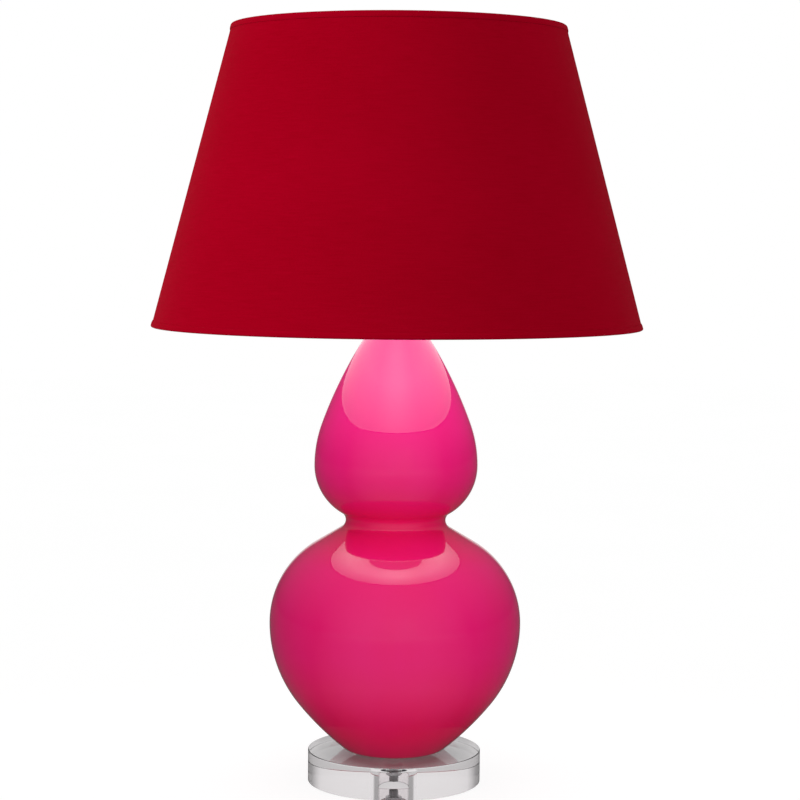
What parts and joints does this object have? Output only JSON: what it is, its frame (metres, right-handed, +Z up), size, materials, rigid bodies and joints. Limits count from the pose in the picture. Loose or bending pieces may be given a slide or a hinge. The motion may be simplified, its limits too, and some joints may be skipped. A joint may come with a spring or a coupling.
{
  "type": "double gourd table lamp",
  "caption": "Table lamp with a glossy pink double gourd ceramic body on a clear round foot and a crimson empire shade held by a harp.",
  "frame": {"origin": "centre of the clear foot disc's underside", "axes": "+Z up, -Y the front with the switch knob, +X to the viewer's right, the cord bushing at +Y"},
  "size_m": [0.4841, 0.4842, 0.7505],
  "materials": {
    "clear_acrylic": "polished clear acrylic",
    "pink_glaze": "high gloss raspberry pink glaze",
    "nickel": "satin nickel plate",
    "steel": "zinc plated steel",
    "brass": "plain brass",
    "black_phenolic": "moulded black",
    "fibre": "grey brown fibre paper",
    "frosted_glass": "white frosted glass",
    "clear_glass": "clear glass",
    "cap_aluminium": "rolled bright aluminium",
    "vitrite": "black glass insulator",
    "solder": "dull solder",
    "tungsten": "drawn wire",
    "crimson_fabric": "matt slubbed weave",
    "white_liner": "satin white styrene",
    "white_wire": "white powder coat"
  },
  "bodies": {
    "root": {"acrylic_base": "clear_acrylic", "lamp_pipe": "steel", "base_washer": "steel", "base_nut": "steel", "gourd_body": "pink_glaze", "cord_bushing": "black_phenolic", "vase_cap": "nickel", "neck_tube": "nickel", "harp_saddle": "nickel", "socket_cap": "nickel", "set_screw": "steel", "socket_shell": "nickel", "socket_insulator": "fibre", "socket_interior": "black_phenolic", "terminal_screws": "brass", "screw_shell": "brass", "centre_contact": "brass"},
    "switch": {"switch_spindle": "brass", "switch_knob": "black_phenolic"},
    "bulb": {"bulb_contact": "solder", "bulb_insulator": "vitrite", "bulb_cap": "cap_aluminium", "bulb_globe": "frosted_glass", "bulb_mount": "clear_glass", "bulb_filament": "tungsten"},
    "harp": {"harp_bow": "nickel"},
    "swivel": {"harp_stud": "nickel"},
    "ferrule_left": {"ferrule_left": "nickel"},
    "ferrule_right": {"ferrule_right": "nickel"},
    "shade": {"shade_fabric": "crimson_fabric", "shade_liner": "white_liner", "trim_bottom": "crimson_fabric", "trim_top": "crimson_fabric", "bottom_ring": "steel", "top_ring": "white_wire", "spider_hub": "white_wire", "spider_arms": "white_wire"},
    "finial": {"finial": "nickel"}
  },
  "joints": [
    {"name": "switch_turn", "type": "hinge", "parent": "root", "child": "switch", "pos_m": [0, 0, 0.5158], "axis": [0, -1, 0], "continuous": true},
    {"name": "bulb_unscrew", "type": "slide", "parent": "root", "child": "bulb", "axis": [0, 0, 1], "range_m": [0, 0.035]},
    {"name": "harp_lift", "type": "slide", "parent": "root", "child": "harp", "axis": [0, 0, 1], "range_m": [0, 0.03]},
    {"name": "ferrule_left_slide", "type": "slide", "parent": "harp", "child": "ferrule_left", "axis": [0, 0, 1], "range_m": [0, 0.012]},
    {"name": "ferrule_right_slide", "type": "slide", "parent": "harp", "child": "ferrule_right", "axis": [0, 0, 1], "range_m": [0, 0.012]},
    {"name": "shade_swivel", "type": "hinge", "parent": "harp", "child": "swivel", "pos_m": [0, 0, 0.7167], "axis": [0, 0, 1], "continuous": true},
    {"name": "shade_lift", "type": "slide", "parent": "swivel", "child": "shade", "axis": [0, 0, 1], "range_m": [0, 0.3]},
    {"name": "finial_unscrew", "type": "slide", "parent": "shade", "child": "finial", "axis": [0, 0, 1], "range_m": [0, 0.03]}
  ]
}
